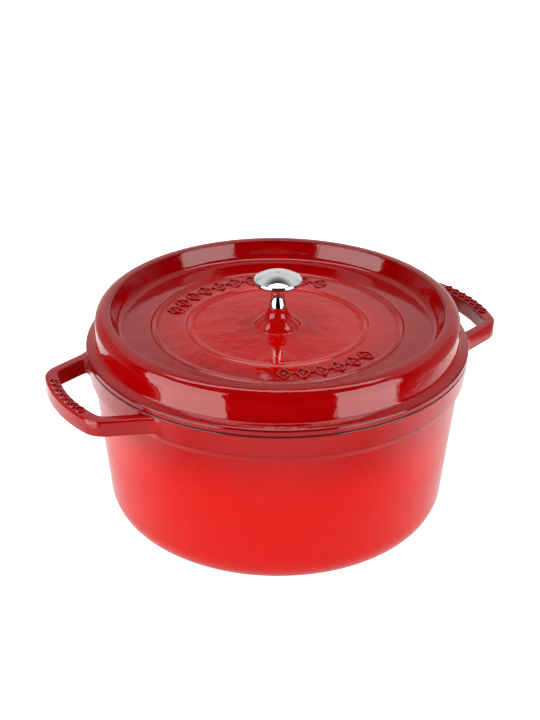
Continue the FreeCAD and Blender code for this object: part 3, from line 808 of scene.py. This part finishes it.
def paper_glow_with_painted_shade():
    """A glowing table for the enamel to mirror: painted shade in front of the pot, painted light around."""
    m = new_material("paper glow with painted shade and light")
    place = add(m, "ShaderNodeTexCoord").outputs["Object"]
    # painted shade: towards the camera its glow falls from the axis to 200 mm off and rises again by 300 mm
    ahead = add(m, "ShaderNodeVectorMath", {0: place, 1: FRONT}, operation="DOT_PRODUCT")
    near = add(m, "ShaderNodeMapRange", {0: ahead.outputs["Value"], 1: 0.02, 2: 0.20, 3: 0.85, 4: 0.45},
               interpolation_type="SMOOTHSTEP")
    far = add(m, "ShaderNodeMapRange", {0: ahead.outputs["Value"], 1: 0.20, 2: 0.30, 3: 0.0, 4: 0.5})
    # painted light: past the pot's sides, 180 to 260 mm off, it glows brighter as if lit by the softboxes
    beside = add(m, "ShaderNodeVectorMath", {0: place, 1: SIDE}, operation="DOT_PRODUCT")
    off = add(m, "ShaderNodeMath", {0: beside.outputs["Value"]}, operation="ABSOLUTE")
    lit = add(m, "ShaderNodeMapRange", {0: off.outputs[0], 1: 0.18, 2: 0.26, 3: 0.0, 4: 0.6})
    glow = add(m, "ShaderNodeMath", {0: near.outputs[0], 1: far.outputs[0]}, operation="ADD")
    glow = add(m, "ShaderNodeMath", {0: glow.outputs[0], 1: lit.outputs[0]}, operation="ADD")
    shader = add(m, "ShaderNodeEmission", {"Color": (1, 1, 1, 1), "Strength": glow.outputs[0]})
    add(m, "ShaderNodeOutputMaterial", {"Surface": shader.outputs[0]})
    return m


def softbox(name, glow, size, place, target):
    """A rectangular lamp that faces its target: its power is its brightness times pi times its area."""
    lamp = bpy.data.lights.new(name, "AREA")
    lamp.shape = "RECTANGLE"
    lamp.size, lamp.size_y = size
    lamp.energy = glow * np.pi * size[0] * size[1]
    box = bpy.data.objects.new(name, lamp)
    box.location = place
    away = box.location - type(box.location)(target)
    box.rotation_euler = away.to_track_quat("Z", "Y").to_euler()
    box.visible_camera = False
    bpy.context.scene.collection.objects.link(box)
    return box


floor_white = white_floor("white paper", 0.35)
angle = 2 * np.pi * np.arange(TABLE_SIDES) / TABLE_SIDES
disc_points = np.column_stack([TABLE_RADIUS * np.cos(angle), TABLE_RADIUS * np.sin(angle),
                               np.full(TABLE_SIDES, TABLE_LEVEL)])
# the table is a glowing disc with painted shade and painted light, seen only in the enamel's reflections
table = new_piece("table", disc_points, np.zeros((0, 4), int), [list(range(TABLE_SIDES))], [paper_glow_with_painted_shade()])
table.visible_camera = table.visible_diffuse = table.visible_shadow = False
square = FLOOR_SIZE / 2 * np.array([[-1, -1], [1, -1], [1, 1], [-1, 1]])
floor = new_piece("floor", np.column_stack([square, np.full(4, FLOOR_LEVEL)]), np.array([[0, 1, 2, 3]]), [],
                  [floor_white])
floor.visible_glossy = False

for i, (direction, spread) in enumerate(PANELS):
    a = np.radians(direction)
    middle = sum(PANEL_HEIGHTS) / 2
    size = (2 * PANEL_DISTANCE * np.tan(np.radians(spread / 2)), PANEL_HEIGHTS[1] - PANEL_HEIGHTS[0])
    softbox(f"tall_softbox_{i + 1}", PANEL_GLOW, size,
            (PANEL_DISTANCE * np.cos(a), PANEL_DISTANCE * np.sin(a), middle), (0, 0, middle))
strip = softbox("top_softbox", TOP_GLOW, TOP_SIZE, TOP_PLACE, (0, 0, 0))
strip.rotation_euler = (0, 0, TOP_TURN)

world = bpy.data.worlds.new("studio")
world.use_nodes = True
world.node_tree.nodes.clear()
# the wall is brightest in its middle, dark towards the camera, and fades out 24 to 34 degrees up
way = add(world, "ShaderNodeTexCoord").outputs["Generated"]
level = add(world, "ShaderNodeVectorMath", {0: way, 1: (1.0, 1.0, 0.0)}, operation="MULTIPLY")
compass = add(world, "ShaderNodeVectorMath", {0: level.outputs[0]}, operation="NORMALIZE")
facing = add(world, "ShaderNodeVectorMath", {0: compass.outputs[0],
                                             1: (np.cos(BACK_DIRECTION), np.sin(BACK_DIRECTION), 0.0)},
             operation="DOT_PRODUCT")
wide = add(world, "ShaderNodeMapRange", {0: facing.outputs["Value"], 1: -0.10, 2: 0.45, 3: 0.004, 4: 0.40},
           interpolation_type="SMOOTHSTEP")
middle = add(world, "ShaderNodeMapRange", {0: facing.outputs["Value"], 1: 0.66, 2: 0.97, 3: 0.0, 4: 0.60},
             interpolation_type="SMOOTHSTEP")
behind = add(world, "ShaderNodeMath", {0: wide.outputs[0], 1: middle.outputs[0]}, operation="ADD")
up = add(world, "ShaderNodeSeparateXYZ", {0: way})
low = add(world, "ShaderNodeMapRange", {0: up.outputs["Z"], 1: 0.40, 2: 0.56, 3: 0.80, 4: 0.0},
          interpolation_type="SMOOTHSTEP")
wall = add(world, "ShaderNodeMath", {0: behind.outputs[0], 1: low.outputs[0]}, operation="MULTIPLY")
# over it a ceiling, dim towards the camera, is brightest 34 to 48 degrees up and nearly gone by 80
over = add(world, "ShaderNodeMapRange", {0: facing.outputs["Value"], 1: -0.40, 2: 0.30, 3: 0.05, 4: 0.74},
           interpolation_type="SMOOTHSTEP")
rising = add(world, "ShaderNodeMapRange", {0: up.outputs["Z"], 1: 0.42, 2: 0.56, 3: 0.0, 4: 1.0},
             interpolation_type="SMOOTHSTEP")
falling = add(world, "ShaderNodeMapRange", {0: up.outputs["Z"], 1: 0.74, 2: 0.985, 3: 1.0, 4: 0.08},
              interpolation_type="SMOOTHSTEP")
band = add(world, "ShaderNodeMath", {0: rising.outputs[0], 1: falling.outputs[0]}, operation="MULTIPLY")
ceiling = add(world, "ShaderNodeMath", {0: over.outputs[0], 1: band.outputs[0]}, operation="MULTIPLY")
glow = add(world, "ShaderNodeMath", {0: wall.outputs[0], 1: ceiling.outputs[0]}, operation="ADD")
# a dim gap high in the wall, seen in the front half of the lid's floor
nearness = add(world, "ShaderNodeVectorMath", {0: way, 1: GAP_DIRECTION}, operation="DOT_PRODUCT")
gap = add(world, "ShaderNodeMapRange", {0: nearness.outputs["Value"], 1: np.cos(np.radians(3.9)),
                                        2: np.cos(np.radians(1.8)), 3: 1.0, 4: 0.38},
          interpolation_type="SMOOTHSTEP")
glow = add(world, "ShaderNodeMath", {0: glow.outputs[0], 1: gap.outputs[0]}, operation="MULTIPLY")
sky = add(world, "ShaderNodeBackground", {"Color": (1, 1, 1, 1), "Strength": glow.outputs[0]})
add(world, "ShaderNodeOutputWorld", {"Surface": sky.outputs[0]})
bpy.context.scene.world = world

# the backdrop is a dome that only the camera sees, with its faces turned inwards
rows = np.linspace(0, np.pi / 2, 9)
dome_profile = DOME_RADIUS * np.column_stack([np.cos(rows), np.sin(rows)])
points, quads, caps = turned(np.vstack([[0, 0], dome_profile]), segments=64)
backdrop = new_piece("backdrop", points, quads[:, ::-1], [c[::-1] for c in caps],
                     [white_floor("backdrop", 1.0)])
backdrop.visible_diffuse = backdrop.visible_glossy = backdrop.visible_shadow = False

lens = bpy.data.cameras.new("camera")
lens.lens, lens.sensor_width = CAMERA_LENS, 36.0
camera = bpy.data.objects.new("camera", lens)
camera.location = CAMERA_PLACE
camera.rotation_euler = CAMERA_TURN
camera.rotation_euler.rotate_axis("Z", CAMERA_ROLL)
bpy.context.scene.collection.objects.link(camera)
bpy.context.scene.camera = camera
bpy.context.scene.view_settings.view_transform = "Standard"
